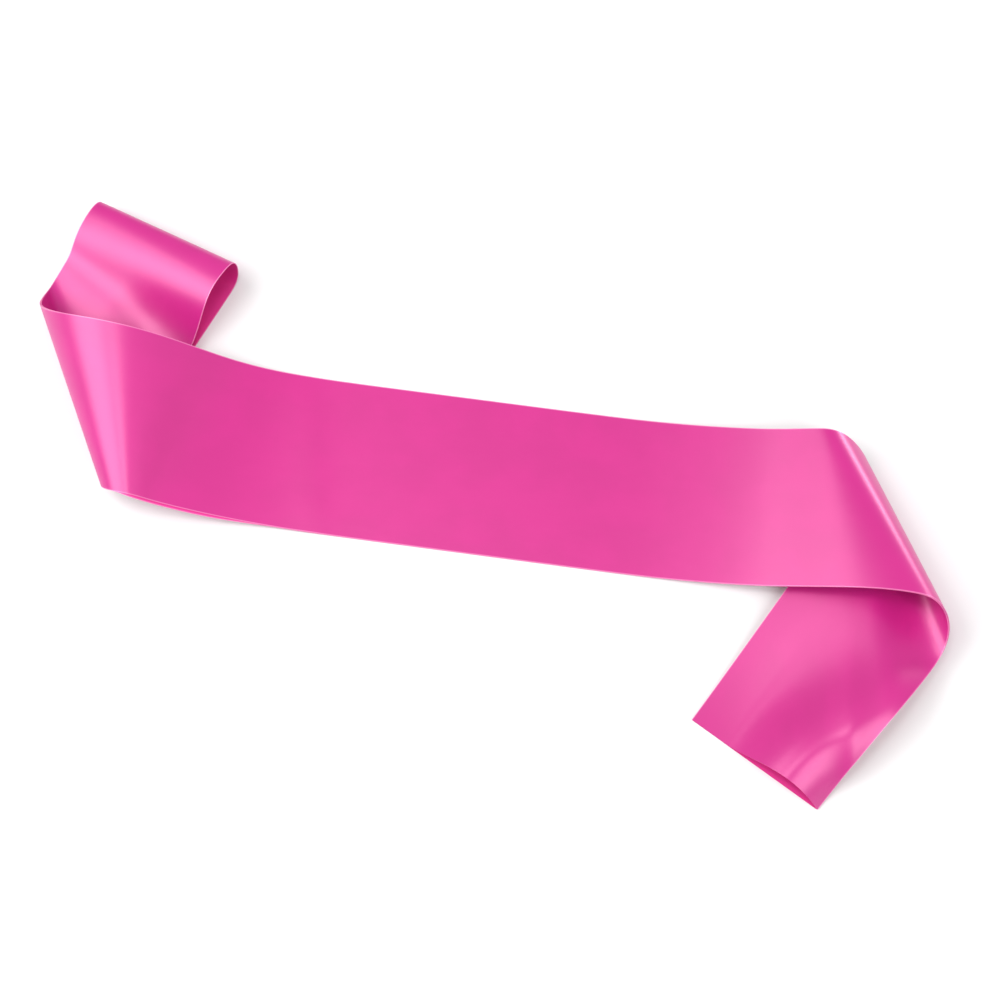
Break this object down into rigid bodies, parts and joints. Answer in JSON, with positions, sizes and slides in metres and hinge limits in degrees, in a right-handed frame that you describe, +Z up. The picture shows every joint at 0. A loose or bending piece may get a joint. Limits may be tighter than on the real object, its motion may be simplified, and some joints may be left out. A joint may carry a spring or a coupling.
{
  "type": "satin sash",
  "caption": "Long plain satin sash, doubled end to end and laid in a flat zigzag with a soft round end, slanting turned folds and open cut ends.",
  "frame": {"origin": "middle of the bounding box, on the surface that the sash lies on", "axes": "+X to the viewer's right along the band, +Y away from the viewer, +Z up from the surface"},
  "size_m": [0.5536, 0.3888, 0.0552],
  "materials": {
    "satin": "bright pink satin with a broad soft sheen, smooth and unprinted"
  },
  "bodies": {
    "root": {"end_loop": "satin", "band": "satin", "band_under": "satin", "tail": "satin", "tail_under": "satin"}
  },
  "joints": []
}
